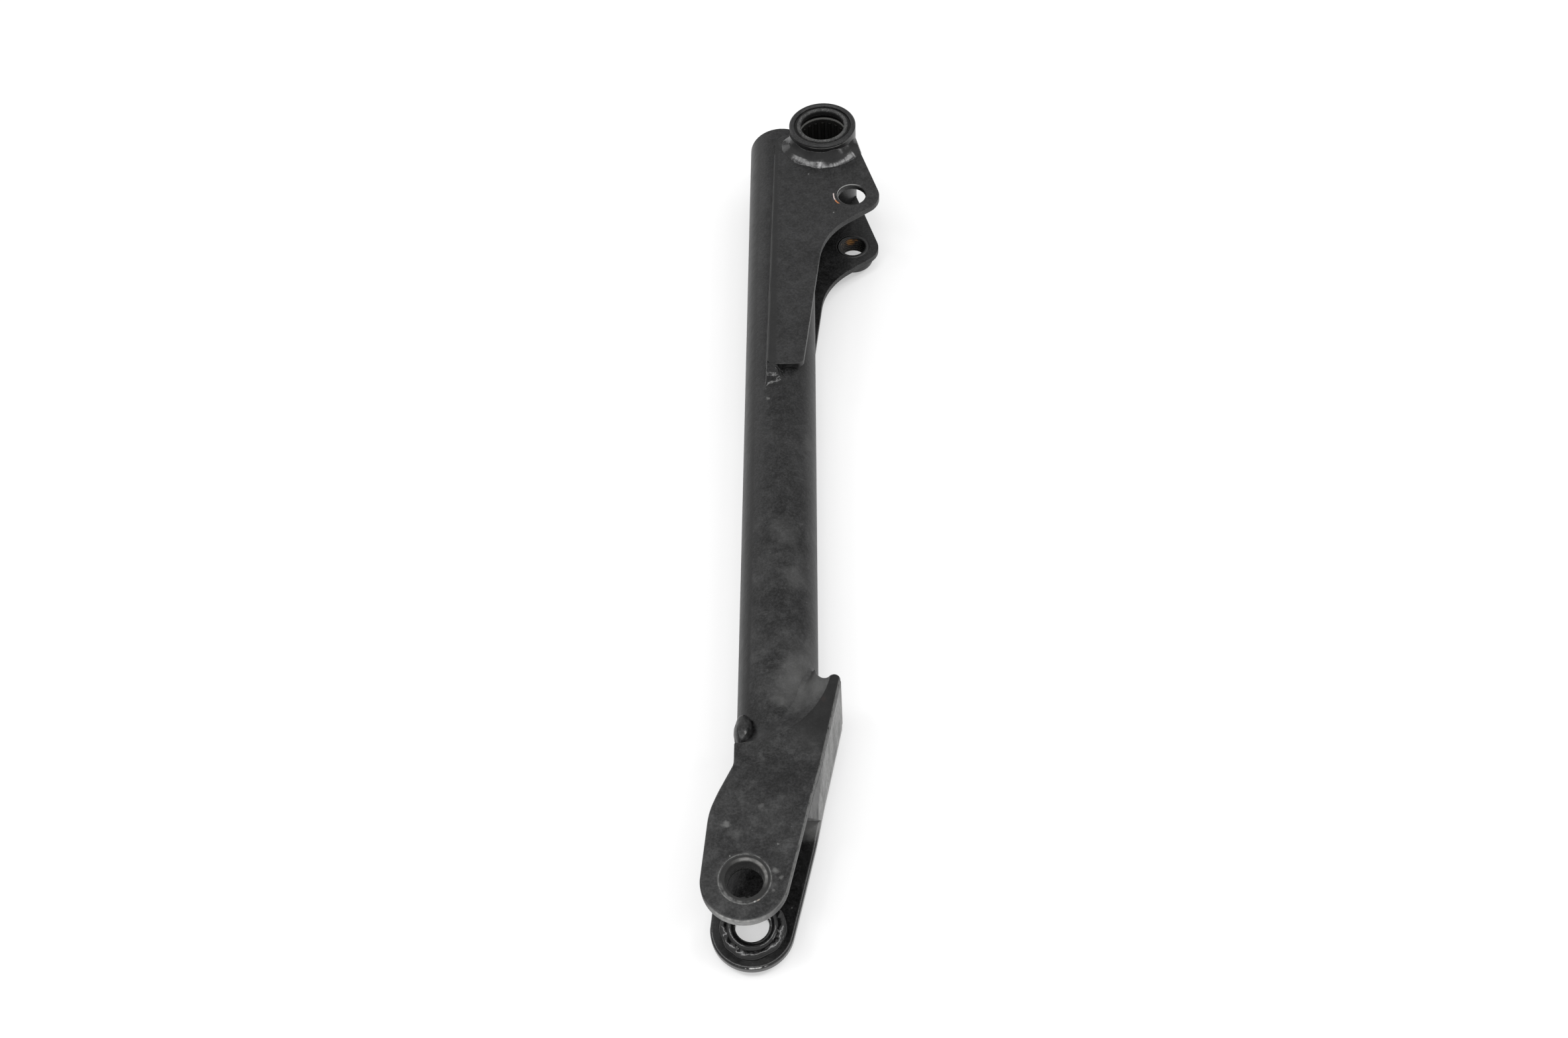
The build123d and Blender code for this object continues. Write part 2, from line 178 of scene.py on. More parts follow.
class StandLegThread(bpy.types.PropertyGroup):
    """The thread in the weld nut."""
    pitch: bpy.props.FloatProperty(
        name="Thread pitch", description="Distance between two turns of the thread",
        subtype="DISTANCE", min=0.0005, default=0.00125)
    crest_r: bpy.props.FloatProperty(
        name="Crest radius", description="Radius at the thread's crests",
        subtype="DISTANCE", min=0.001, default=0.0054)
    depth: bpy.props.FloatProperty(
        name="Thread depth", description="Crest to root, radial",
        subtype="DISTANCE", min=0, default=0.00068)


class StandLegStage(bpy.types.PropertyGroup):
    """The floor, the lamps and the camera."""
    floor_colour: bpy.props.FloatVectorProperty(
        name="Floor colour", description="Colour of the floor",
        subtype="COLOR", size=3, min=0, max=1, default=(0.9, 0.9, 0.9))
    lamp_power: bpy.props.FloatProperty(
        name="Lamp power", description="Power that every lamp takes a share of",
        subtype="POWER", min=0, default=7.0)
    surround: bpy.props.FloatProperty(
        name="Surround", description="Brightness of the room overhead",
        min=0, max=1, default=0.82)
    camera_place: bpy.props.FloatVectorProperty(
        name="Camera place", description="Where the camera stands",
        subtype="TRANSLATION", size=3, default=(0.008835, -0.596199, 0.525946))
    camera_turn: bpy.props.FloatVectorProperty(
        name="Camera turn", description="Turn of the camera",
        subtype="EULER", size=3, default=(0.635985, 0.047578, 0.004625))
    lens: bpy.props.FloatProperty(
        name="Lens", description="Focal length in millimetres on a 36 mm sensor",
        min=1, default=37.496)


# ---- shader maths ----

def joined(operation, swapped=False):
    """A method that joins a shade and another value in a Math node."""
    def join(self, other):
        first, second = (other, self) if swapped else (self, other)
        return self.sum(operation, first, second)
    return join


class Shade:
    """One output of a shader node, usable in a Python sum."""

    def __init__(self, finish, socket):
        self.finish = finish
        self.socket = socket

    def sum(self, operation, first, second=0.0):
        """A Math node on two values."""
        return self.finish.add("ShaderNodeMath", {"operation": operation}, {0: first, 1: second})

    __add__ = joined("ADD")
    __radd__ = joined("ADD", swapped=True)
    __sub__ = joined("SUBTRACT")
    __rsub__ = joined("SUBTRACT", swapped=True)
    __mul__ = joined("MULTIPLY")
    __rmul__ = joined("MULTIPLY", swapped=True)
    __truediv__ = joined("DIVIDE")
    __pow__ = joined("POWER")
    at_most = joined("MINIMUM")
    at_least = joined("MAXIMUM")

    def __abs__(self):
        return self.sum("ABSOLUTE", self)

    def step(self, low, high):
        """0 below low, 1 above high and smooth between, or the other way where low is above high."""
        if low > high:
            return 1 - self.step(high, low)
        return self.finish.add(
            "ShaderNodeMapRange", {"interpolation_type": "SMOOTHSTEP", "clamp": True},
            {0: self, 1: low, 2: high, 3: 0.0, 4: 1.0})


class Finish:
    """A material put together from expressions."""

    def __init__(self, name, world=None):
        self.material = world or bpy.data.materials.new(name)
        self.material.use_nodes = True
        self.tree = self.material.node_tree
        self.tree.nodes.clear()
        self.place = self.add("ShaderNodeTexCoord", outputs="Object")
        self.metres = self.add("ShaderNodeSeparateXYZ", {}, {0: self.place}, outputs=(0, 1, 2))
        self.x, self.y, self.z = (way * (1 / MM) for way in self.metres)

    def add(self, kind, settings=None, sockets=None, outputs=0):
        """A node of a type, its settings, and the values or links of its sockets."""
        node = self.tree.nodes.new(kind)
        for name, value in (settings or {}).items():
            setattr(node, name, value)
        for name, value in (sockets or {}).items():
            if isinstance(value, Shade):
                self.tree.links.new(value.socket, node.inputs[name])
            else:
                node.inputs[name].default_value = value
        if isinstance(outputs, tuple):
            return tuple(Shade(self, node.outputs[name]) for name in outputs)
        return Shade(self, node.outputs[outputs])

    def moved(self, offset, stretch=(1, 1, 1)):
        """The place, shifted and stretched so that no two patterns coincide."""
        return self.add(
            "ShaderNodeMapping", {"vector_type": "POINT"},
            {"Vector": self.place, "Location": (offset, offset * 0.7, offset * 1.3), "Scale": stretch})

    def grain(self, size, detail=3.0, roughness=0.55, stretch=(1, 1, 1), offset=0.0):
        """Noise whose lumps are about size millimetres across, from 0 to 1."""
        return self.add(
            "ShaderNodeTexNoise", {},
            {"Vector": self.moved(offset, stretch), "Scale": 1 / (size * MM), "Detail": detail,
             "Roughness": roughness})

    def cells(self, size, offset=0.0):
        """Distance to scattered points about size millimetres apart."""
        return self.add(
            "ShaderNodeTexVoronoi", {"feature": "F1"},
            {"Vector": self.moved(offset), "Scale": 1 / (size * MM)})

    def far_from(self, x, y, z, ragged=0.0):
        """Distance in millimetres from a point, with a ragged edge."""
        away = self.add(
            "ShaderNodeVectorMath", {"operation": "DISTANCE"},
            {0: self.place, 1: (x * MM, y * MM, z * MM)}, outputs="Value") * (1 / MM)
        if ragged:
            away = away + (self.grain(ragged * 1.2, offset=x * 0.01) - 0.5) * ragged * 2
        return away

    def spot(self, x, y, z, size, ragged=0.0, soft=0.5):
        """1 inside a round mark and 0 outside it."""
        return self.far_from(x, y, z, ragged).step(size, size * (1 - soft))

    def around(self, x, y):
        """Distance in millimetres from an axis along Z."""
        return ((self.x - x) ** 2.0 + (self.y - y) ** 2.0) ** 0.5

    def facing(self, way):
        """How far the surface faces a direction, from -1 to 1."""
        return self.agree(self.add("ShaderNodeNewGeometry", outputs="Normal"), way)

    def agree(self, first, second):
        """The cosine of the angle between two directions."""
        return self.add(
            "ShaderNodeVectorMath", {"operation": "DOT_PRODUCT"}, {0: first, 1: second}, outputs="Value")

    def mix(self, share, first, second):
        """Blends two colours."""
        return self.add(
            "ShaderNodeMix", {"data_type": "RGBA"},
            {0: share, 6: self.colour(first), 7: self.colour(second)}, outputs=2)

    def colour(self, value):
        """A colour as a socket takes it."""
        return value if isinstance(value, Shade) else (*value, 1.0)

    def edges(self, radius):
        """The surface's direction, softened across sharp edges."""
        return self.add(
            "ShaderNodeBevel", {"samples": 6}, {"Radius": radius}, outputs="Normal")

    def bump(self, height, depth, under=None):
        """Raises the surface by height times depth millimetres."""
        sockets = {"Height": height, "Distance": depth * MM, "Strength": 1.0}
        if under is not None:
            sockets["Normal"] = under
        return self.add("ShaderNodeBump", {}, sockets, outputs="Normal")

    def surface(self, colour, roughness, normal=None, metallic=0.0, specular=0.5):
        """Ends the material in its shader."""
        sockets = {
            "Base Color": self.colour(colour), "Roughness": roughness, "Metallic": metallic,
            "Specular IOR Level": specular}
        if normal is not None:
            sockets["Normal"] = normal
        shader = self.add("ShaderNodeBsdfPrincipled", {}, sockets, outputs="BSDF")
        return self.add_output("ShaderNodeOutputMaterial", shader)

    def add_output(self, kind, shader):
        """Joins a shader to the output."""
        output = self.tree.nodes.new(kind)
        self.tree.links.new(shader.socket, output.inputs["Surface"])
        return self.material


# ---- finishes ----

def black_paint(name, gloss=0.0, lumps=0.0, shine=1.0, marks=(), glow=(), extra=None, tint=None):
    """Satin black paint with fine orange peel, a grey bloom of dust and small marks.

    marks are (x, y, z, size, share) of pale dust, some of them painted glints on beads, glow (x, y, z,
    size, colour, share), extra gives a further pale mask, dust in the bush bore and painted highlight
    lines elsewhere, and tint changes the finished colour.
    """
    paint = bpy.context.scene.stand_leg_paint
    finish = Finish(name)
    fine = finish.grain(0.9, detail=5.0, roughness=0.85)
    cloud = finish.grain(16.0, offset=0.31)
    patch = finish.grain(4.5, detail=5.0, roughness=0.65, offset=0.12)
    rub = finish.grain(2.6, detail=4.0, roughness=0.7, stretch=(0.5, 1.6, 1.0), offset=0.77)
    dark = [c * 0.15 for c in paint.colour]
    light = [c * (5.0 - 3.5 * gloss) for c in paint.colour]
    tone = fine.step(0.34, 0.74) * 0.8 + (patch - 0.5) * 0.8 + (cloud - 0.5) * 0.4
    colour = finish.mix(tone.at_least(0.0).at_most(1.0), dark, light)
    down = finish.y.step(-110.0, -330.0)
    settled = (cloud.step(0.42, 0.72) * 0.06 + patch.step(0.48, 0.78) * 0.10) * (0.25 + down)
    settled = settled + rub.step(0.56, 0.75) * 0.08 * (0.25 + down)
    speck = finish.cells(3.4, offset=0.2).step(0.12, 0.04) * patch.step(0.50, 0.62)
    dust_and_highlight = settled * (2 * paint.dust * (1 - gloss)) + speck * 0.3 * (0.2 + down)
    for x, y, z, size, share in marks:
        dust_and_highlight = dust_and_highlight + finish.spot(x, y, z, size, ragged=size * 0.8, soft=0.8) * share
    if extra:
        dust_and_highlight = dust_and_highlight + extra(finish)
    soft = finish.edges(paint.edge_round)
    true = finish.add("ShaderNodeNewGeometry", outputs="Normal")
    bent = 1 - finish.agree(soft, true)
    # pale edges where the bevel bends the normal: wear together with a painted highlight
    dust_and_highlight = dust_and_highlight + bent.step(0.02, 0.12) * patch.step(0.34, 0.58) * (paint.edge_wear_and_highlight * (1 - gloss))
    colour = finish.mix(dust_and_highlight.at_least(0.0).at_most(1.0), colour, paint.dust_colour)
    rough = (paint.roughness - 0.30 * gloss) + (fine - 0.5) * 0.16 * (1 - gloss)
    rough = rough + (patch - 0.5) * 0.2 + dust_and_highlight * 0.4
    for x, y, z, size, hue, share in glow:
        colour = finish.mix(finish.spot(x, y, z, size, ragged=size * 0.9) * share, colour, hue)
    if tint:
        colour = tint(finish, colour)
    peel = finish.grain(0.9, offset=0.5) * (1 - 0.8 * gloss)
    peel = peel + finish.grain(3.5, detail=2.0, offset=0.9) * (2.2 - 1.4 * gloss + 5.0 * lumps)
    normal = finish.bump(peel, 0.05 + 0.07 * lumps, soft)
    return finish.surface(colour, rough, normal, specular=paint.shine * shine)


def band(value, centre, half, fade):
    """1 within half of a value's centre, fading to 0."""
    return (abs(value - centre)).step(half + fade, half)


def dust_and_painted_light_on_flange(finish, colour):
    """Painted shade on the flange near the strip's corner, and dust with painted highlights on the
    flange's rounded edges.
    """
    rough = finish.grain(1.6, detail=4.0, offset=0.6)
    upper = finish.z.step(10.0, 16.0)
    # painted shade: the flange darkened round the strip's top corner
    shaded = finish.spot(2.0, -303.0, 19.0, 26.0, ragged=4.0, soft=0.6) * 0.85
    colour = finish.mix(shaded, colour, [0.002] * 3)
    # painted highlights, with some dust, on rounded edges picked out by the way they face
    end = finish.facing((-0.1, -0.93, 0.36)).step(0.55, 0.95) * (0.15 + rough * 1.2)
    corner = finish.facing((0.75, -0.25, 0.61)).step(0.86, 0.96) * rough.step(0.25, 0.55) * 0.6
    lip = finish.facing((-0.2, -0.72, 0.66)).step(0.90, 0.985) * finish.y.step(-372.0, -380.0)
    lip = lip * rough.step(0.3, 0.6)
    colour = finish.mix((end * upper).at_most(0.9), colour, (0.25, 0.25, 0.245))
    colour = finish.mix(corner * upper, colour, (0.15, 0.15, 0.147))
    return finish.mix(lip * upper * 0.6, colour, (0.34, 0.34, 0.33))


def painted_dark_reflection_stripe(finish, colour):
    """A painted dark reflection: a darker stripe along the tube, on its left flank."""
    wander = finish.grain(30.0, stretch=(1, 0.4, 1), offset=0.2) * 0.02
    # painted reflection: darker where the tube faces one way
    stripe = (finish.facing((-0.777, 0.0, 0.629)) + wander).step(0.985, 1.003)
    return finish.mix(stripe * 0.8, colour, [0.003] * 3)


def bush_rim_and_painted_highlights(finish, colour):
    """A bush's pale, broken rim, painted highlights on its mouth, a crescent on one side and a fainter
    arc on the other, and a near-black bore and dish.
    """
    crescent_r = 7.15
    dish_r = 8.6
    away = finish.around(pin_middle.x, pin_middle.y)
    broken = finish.grain(1.8, detail=4.0, offset=0.6).step(0.35, 0.65)
    lean = ((finish.x - pin_middle.x) * 0.6 + (finish.y - pin_middle.y) * 0.8) / away
    face = finish.z.step(0.0, 1.0)
    rim = band(away, bush_r - 0.25, 0.05, 0.35) * (0.12 + broken * 0.6)
    # painted highlight: a pale crescent on the mouth's lit side, broken by the grain
    crescent = band(away, crescent_r, 0.3, 0.5) * lean.step(0.1, 0.8) * (0.45 + broken * 0.55)
    # painted highlight: a fainter pale arc on the mouth's other side
    foot = band(away, 8.2, 0.2, 0.6) * lean.step(-0.55, -0.95) * broken * 0.6
    dish = away.step(dish_r, dish_r - 0.3) * 0.9
    colour = finish.mix((away.step(6.7, 6.4) + dish).at_most(0.97), colour, [0.003] * 3)
    colour = finish.mix((rim + foot).at_most(1.0) * face, colour, (0.16, 0.16, 0.157))
    return finish.mix(crescent * face, colour, (0.15, 0.148, 0.144))


def bush_wall(finish):
    """A matt bore and mouth."""
    return finish.around(pin_middle.x, pin_middle.y).step(8.6, 8.2)


def seam_highlight_line(finish):
    """A thin pale line along the side plate's left edge, a painted highlight of the paint's ridge there.
    """
    run = (finish.y - seam_top.y) * (1 / (seam_foot.y - seam_top.y))
    edge = seam_top.x + run * (seam_foot.x - seam_top.x)
    broken = finish.grain(3.0, detail=4.0, stretch=(1, 0.3, 1), offset=0.6).step(0.30, 0.60)
    line = band(finish.x, 0.22 + edge, 0.05, 0.3) * (0.05 + broken * 0.5)
    return line * (0.3 + finish.y.step(-20.0, -60.0))


def ear_scrape_and_sink_highlight(finish, colour):
    """A painted highlight on the lit side of the countersink of the hole over the nut, and a short
    scrape beside it, rusty at its foot.
    """
    paint = bpy.context.scene.stand_leg_paint
    sink_r = 6.7
    scrape_r = 8.3
    colour = finish.mix(finish.x.step(-20.2, -21.4) * 0.8, colour, paint.colour)
    away = finish.around(nut_middle.x, nut_middle.y)
    # painted highlight: a pale arc on the countersink where it faces the light
    lit = finish.facing((0.42, -0.56, 0.71)).step(0.55, 0.90)
    sink_highlight = band(away, sink_r, 0.08, 0.18) * lit * finish.z.step(16.4, 16.8)
    sink_highlight = sink_highlight * finish.z.step(plate_top - 0.03, plate_top - 0.1)
    colour = finish.mix(sink_highlight * 0.8, colour, (0.26, 0.26, 0.255))
    ragged = (finish.grain(0.8, detail=4.0, offset=0.3) - 0.5) * 0.9
    track = band(away + ragged * 0.4, scrape_r, 0.12, 0.3) * (nut_middle.x - finish.x).step(4.0, 6.0)
    track = track * finish.z.step(17.0, 17.3)
    bare = track * (finish.y + ragged).step(-42.3, -41.8) * (finish.y + ragged).step(-37.2, -38.0)
    rusty = track * (finish.y + ragged).step(-44.6, -44.0) * (finish.y + ragged).step(-41.7, -42.3)
    colour = finish.mix(bare * 0.85, colour, (0.50, 0.42, 0.40))
    return finish.mix(rusty * 0.85, colour, (0.42, 0.15, 0.05))


def rim_highlight_line(finish):
    """A thin pale line under the boss's rim, on the side towards the foot, a painted highlight."""
    level = band(abs(finish.z), boss_half - 1.4, 0.10, 0.22)
    side = finish.facing((0.25, -1.0, 0.0)).step(0.55, 0.95)
    return level * side * finish.grain(4.0, offset=0.2).step(0.30, 0.55) * 0.8


def below_strip_and_edge_highlight(finish, colour):
    """Paint rubbed pale just under the strip's lower end, and a painted highlight on the rounded end's
    edge.
    """
    ragged = (finish.grain(2.2, detail=5.0, roughness=0.7, offset=0.5) - 0.5) * 4
    near = (finish.y + ragged).step(-341.0, -331.5) * (finish.x + ragged).step(-15.0, -10.0)
    colour = finish.mix(near * 0.9, colour, (0.17, 0.17, 0.167))
    # painted highlight: a thin pale line along the rounded end's edge
    lip = finish.facing((0.0, -0.72, 0.69)).step(0.95, 0.99) * finish.y.step(-380.0, -384.0)
    return finish.mix(lip * finish.grain(1.2, offset=0.3).step(0.42, 0.58), colour, (0.55, 0.55, 0.54))


def dusty_grey_with_painted_light(name):
    """Pale grey on the strip along the fork, partly dust and partly painted light, with dark runs and
    scrapes and painted shade towards its lower end.
    """
    paint = bpy.context.scene.stand_leg_paint
    finish = Finish(name)
    grit = finish.grain(0.9, detail=5.0, roughness=0.8, stretch=(1.0, 1.0, 0.22))
    runs = finish.grain(5.0, detail=4.0, stretch=(1.0, 1.0, 0.2), offset=0.4)
    scrape = finish.grain(2.2, detail=5.0, roughness=0.7, stretch=(1.0, 1.0, 0.2), offset=0.8)
    pale = (0.20, 0.20, 0.197)
    grey = finish.mix(grit.step(0.3, 0.75), [c * 0.6 for c in pale], [c * 1.5 for c in pale])
    shade = (runs.step(0.52, 0.36) * 0.3 + scrape.step(0.56, 0.72) * 0.4).at_most(0.7)
    # painted shade: the strip darkens towards its lower end
    lower_end_shade = (finish.y + runs * 6 + grit * 3 - finish.z * 0.45).step(-327.0, -331.0) * 0.6
    colour = finish.mix((shade + lower_end_shade).at_most(0.9), grey, paint.colour)
    normal = finish.bump(grit + runs, 0.05, finish.edges(paint.edge_round))
    return finish.surface(colour, 0.6 + grit * 0.2, normal)


def dusty_rubber_with_painted_shade():
    """Dark rubber with a dry grey bloom, and painted shade inside its lip and in the groove at its rim.
    """
    finish = Finish("seal rubber")
    bloom = finish.grain(2.4, detail=4.0)
    fine = finish.grain(0.5, offset=0.3)
    colour = finish.mix(bloom.step(0.3, 0.75), [0.008] * 3, (0.045, 0.045, 0.044))
    colour = finish.mix(fine.step(0.50, 0.72) * 0.8, colour, (0.13, 0.13, 0.127))
    away = finish.around(0.0, 0.0)
    # painted shade: near-black inside the lip and in the groove by the boss's wall
    deep = abs(finish.z).step(seal_face - 0.7, seal_face - 1.1) * away.step(10.8, 10.4)
    painted_shade_inside = (deep + away.step(11.85, 12.0)).at_most(1.0)
    colour = finish.mix(painted_shade_inside, colour, [0.002] * 3)
    return finish.surface(colour, 0.55 + bloom * 0.25, finish.bump(fine + bloom, 0.03))


def shaded_oily_steel(name, level, roughness, painted_highlight=None):
    """Bearing steel painted dark as shade inside the bore, with a film of old oil, and a painted
    highlight where the given mask says.
    """
    finish = Finish(name)
    film = finish.grain(3.0, detail=4.0)
    fine = finish.grain(0.6, detail=2.0, offset=0.4)
    # the low level paints the steel dark, as shade inside the bore
    colour = finish.mix(film.step(0.35, 0.7) * 0.6, (level, level, level * 0.98), (0.02, 0.018, 0.016))
    if painted_highlight:
        colour = finish.mix(painted_highlight(finish), colour, (0.45, 0.45, 0.43))
    return finish.surface(
        colour, roughness + fine * 0.2, finish.bump(fine, 0.01), metallic=0.7, specular=0.2)


def needle_tip_highlights(finish):
    """Painted highlights on the ends of the needles, inside their chamfers."""
    return (needle_tip - abs(finish.z)).step(0.22, 0.05) * 0.06


def shell_lip_highlights(finish):
    """A painted highlight on the inner edges of a shell's turned-in ends."""
    return finish.around(0.0, 0.0).step(10.95, 10.8)


def rusty_nut():
    """The weld nut: painted outside, bare and rusty in its thread, with painted shade over one side of
    the thread.
    """
    paint = bpy.context.scene.stand_leg_paint
    finish = Finish("nut paint and rust")
    x, y = nut_middle.x, nut_middle.y
    inside = finish.around(x, y).step(6.12, 6.02) * finish.z.step(nut_top, nut_top - 0.5)
    patch = finish.grain(2.4, detail=5.0, roughness=0.7)
    fine = finish.grain(0.5, offset=0.3)
    rust = finish.mix(fine, (0.16, 0.06, 0.012), (0.46, 0.22, 0.05))
    steel = finish.mix(fine.step(0.4, 0.7), (0.010, 0.009, 0.008), (0.06, 0.055, 0.05))
    rusted = finish.spot(x - 1.2, y + 5.6, nut_top - 2.6, 2.6, ragged=1.6, soft=0.7)
    rusted = rusted + finish.spot(x + 1.6, y + 5.2, nut_top - 1.4, 1.2, ragged=0.8) * 0.5
    # painted shade: the thread near-black on its +x side
    shaded_side_of_thread = (finish.x - x).step(2.5, 4.5)
    thread = finish.mix((rusted * 0.95 + patch.step(0.62, 0.70) * 0.3).at_most(1.0), steel, rust)
    thread = finish.mix(shaded_side_of_thread * 0.85, thread, [0.004] * 3)
    colour = finish.mix(inside, paint.colour, thread)
    rough = paint.roughness + inside * 0.25
    return finish.surface(colour, rough, finish.bump(fine + patch, 0.03, finish.edges(paint.edge_round)))


# ---- mesh work ----

def polar(r, angle, z=0.0, x=0.0, y=0.0):
    """The point at a radius and an angle about an upright axis."""
    return Vector((x + r * math.cos(angle), y + r * math.sin(angle), z))


def finished(builder, name):
    """The mesh that a builder has made."""
    mesh = bpy.data.meshes.new(name)
    builder.to_mesh(mesh)
    builder.free()
    return mesh


def linked(name, data):
    """A new object in the scene."""
    made = bpy.data.objects.new(name, data)
    bpy.context.scene.collection.objects.link(made)
    return made


def new_piece(name, mesh, material, replaced, sharp=180):
    """Links a sculpted piece that stands for CAD nodes; edges above sharp degrees stay sharp."""
    piece = linked(name, mesh)
    for face in mesh.polygons:
        face.use_smooth = True
    mesh.set_sharp_from_angle(angle=math.radians(sharp))
    mesh.materials.append(material)
    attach(piece, LEG)
    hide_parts(*replaced)


def grid_mesh(name, rows, columns, point, close_rows=False, close_columns=False, fill_ends=False):
    """A sheet of quads through point(row share, column share), in millimetres."""
    builder = bmesh.new()
    row_count = rows if close_rows else rows + 1
    column_count = columns if close_columns else columns + 1
    grid = [[builder.verts.new(point(i / rows, j / columns) * MM) for j in range(column_count)]
            for i in range(row_count)]
    for i in range(rows):
        for j in range(columns):
            here, ahead = grid[i], grid[(i + 1) % row_count]
            beside = (j + 1) % column_count
            builder.faces.new((here[j], here[beside], ahead[beside], ahead[j]))
    if fill_ends:
        bmesh.ops.holes_fill(builder, edges=[edge for edge in builder.edges if edge.is_boundary])
    bmesh.ops.recalc_face_normals(builder, faces=builder.faces)
    return finished(builder, name)


def rounded_strip():
    """The strip with its outer top corner rounded, as the flanges' corners are."""
    builder = bmesh.new()
    builder.from_mesh(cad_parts["fork_web"].data)
    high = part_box("fork_web")[1] / MM
    heart = Vector((high.x - strip_corner_r - 0.5, high.y - strip_corner_r, 0.0))
    for degrees in range(0, 90, 10):
        out = polar(1.0, math.radians(degrees))
        whole = builder.verts[:] + builder.edges[:] + builder.faces[:]
        cut = bmesh.ops.bisect_plane(
            builder, geom=whole, plane_co=(heart + out * strip_corner_r) * MM, plane_no=out,
            clear_outer=True)
        rim = [e for e in cut["geom_cut"] if isinstance(e, bmesh.types.BMEdge)]
        if rim:
            bmesh.ops.contextual_create(builder, geom=rim)
    return finished(builder, "rounded strip")


def boss_bead(side):
    """A bead that flares from the boss into the plate; the upper one laps round the plate's edge."""
    welds = bpy.context.scene.stand_leg_welds
    ripple = welds.ripple_height / MM
    pitch = welds.ripple_pitch / MM
    start = math.radians(176)
    sweep = math.radians(355 if side > 0 else 347) - start
    length = sweep * (boss_r + bead_wide / 2)
    top_share = 0.8
    sunk = 0.25
    lap = 1.2 if side > 0 else -0.15

    def shape(r, z, angle):
        """Keeps a point by the plate's edge and lets what laps over it hang down."""
        lean = math.cos(angle) + edge_lean * math.sin(angle)
        over = r * lean - edge_at_axis[side]
        if lean > 0 and over > lap:
            r = max(boss_r - sunk, (edge_at_axis[side] + lap) / lean)
        z -= smooth_step(over, 0.0, 1.2) * max(0.0, min(2.2, lap * 2))
        return polar(r, angle, side * z)

    def point(along, across):
        angle = start + sweep * along
        run = along * length
        ends = min(1.0, 7 * along, 5 * (1 - along)) ** 0.5
        wander = noise.noise(Vector((run * 0.2, 0.0, 3.0 * side)))
        lump = noise.noise(Vector((run * 0.13, 5.0, side)))
        wide = (bead_wide + 0.9) * (0.95 + 0.14 * wander) * (0.35 + 0.65 * ends)
        tall = (bead_high - plate_top) * (0.84 + 0.12 * lump) * (0.25 + 0.75 * ends)
        if across > top_share:
            r = boss_r + wide * (1 - across) * 4 - sunk
            return shape(r, plate_top - sunk, angle)
        share = across / top_share
        swing = share * math.pi / 2
        out = wide * (0.35 * (1 - math.cos(swing)) + 0.65 * share)
        up = tall * (0.35 * (1 - math.sin(swing)) + 0.65 * (1 - share))
        middle_bump = math.sin(math.pi * share) ** 0.8
        wave = (abs(math.sin((run / pitch + 0.8 * share) * math.pi)) - 0.5) * ripple
        rough = 0.26 * noise.noise(Vector((run * 0.11, share * 1.8, side)))
        rough += 0.05 * noise.noise(Vector((run * 0.16, share * 7.0, side)))
        lift = (wave + rough) * middle_bump
        r = boss_r - sunk * (1 - share) + out + lift * 0.6
        z = plate_top + up - sunk * share + lift * 0.7
        return shape(r, z, angle)

    return grid_mesh("boss bead", 280, 24, point, close_columns=True, fill_ends=True)


def fork_skin(side_name):
    """The fork bead melted together with a sliver of the tube under it."""
    welds = bpy.context.scene.stand_leg_welds
    way = SIDES[side_name]
    source = side_name + "_fork_weld"
    low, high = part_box(source)
    builder = bmesh.new()
    builder.from_mesh(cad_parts[source].data)
    sleeve = grid_mesh("sleeve", 4, 96, sleeve_point(low.y / MM - 3, high.y / MM + 14),
                       close_rows=True, close_columns=True)
    builder.from_mesh(sleeve)
    bpy.data.meshes.remove(sleeve)
    carrier = linked("skin carrier", finished(builder, side_name + " fork skin"))
    remesh = carrier.modifiers.new("melt", "REMESH")
    remesh.mode = "VOXEL"
    remesh.voxel_size = welds.skin_voxel
    view = bpy.context.evaluated_depsgraph_get()
    melted = bpy.data.meshes.new_from_object(carrier.evaluated_get(view))
    bpy.data.objects.remove(carrier)
    keep_half(melted, way)
    flow(melted, above_mouth)
    settle(melted)
    flow(melted, beside_scoop, rounds=140)
    return melted


def above_mouth(places):
    """How freely the bead flows: pinned where it meets the flange's edge, free above it."""
    x, y = places[:, 0], places[:, 1]
    away = mouth_r - np.hypot(x - mouth_x, y - mouth_y)
    return np.clip((away - 0.3) / 1.8, 0.0, 1.0)


def beside_scoop(places):
    """How freely the settled bead flows: pinned at the flange's edge and beyond the tube's side."""
    return above_mouth(places) * np.clip((tube_side + 0.7 - places[:, 0]) / 2.5, 0.0, 1.0)


def settle(mesh):
    """Ramps the bead down to the tube's skin above the flange's edge, and sinks its tip."""
    for vertex in mesh.vertices:
        x, y, z = vertex.co / MM
        away = mouth_r - math.hypot(x - mouth_x, y - mouth_y)
        skin = min(abs(z), max(0.0, tube_height(x) - 0.15))
        fall = smooth_step(away, -0.5, 9.5) * (1 - smooth_step(x, -13.0, -5.5))
        tip = smooth_step(y, -290.5, -287.0) * (1 - smooth_step(tube_side - x, 2.5, 0.8))
        fall = max(fall, tip)
        vertex.co.z = math.copysign(skin + (abs(z) - skin) * (1 - fall), z) * MM
    mesh.update()


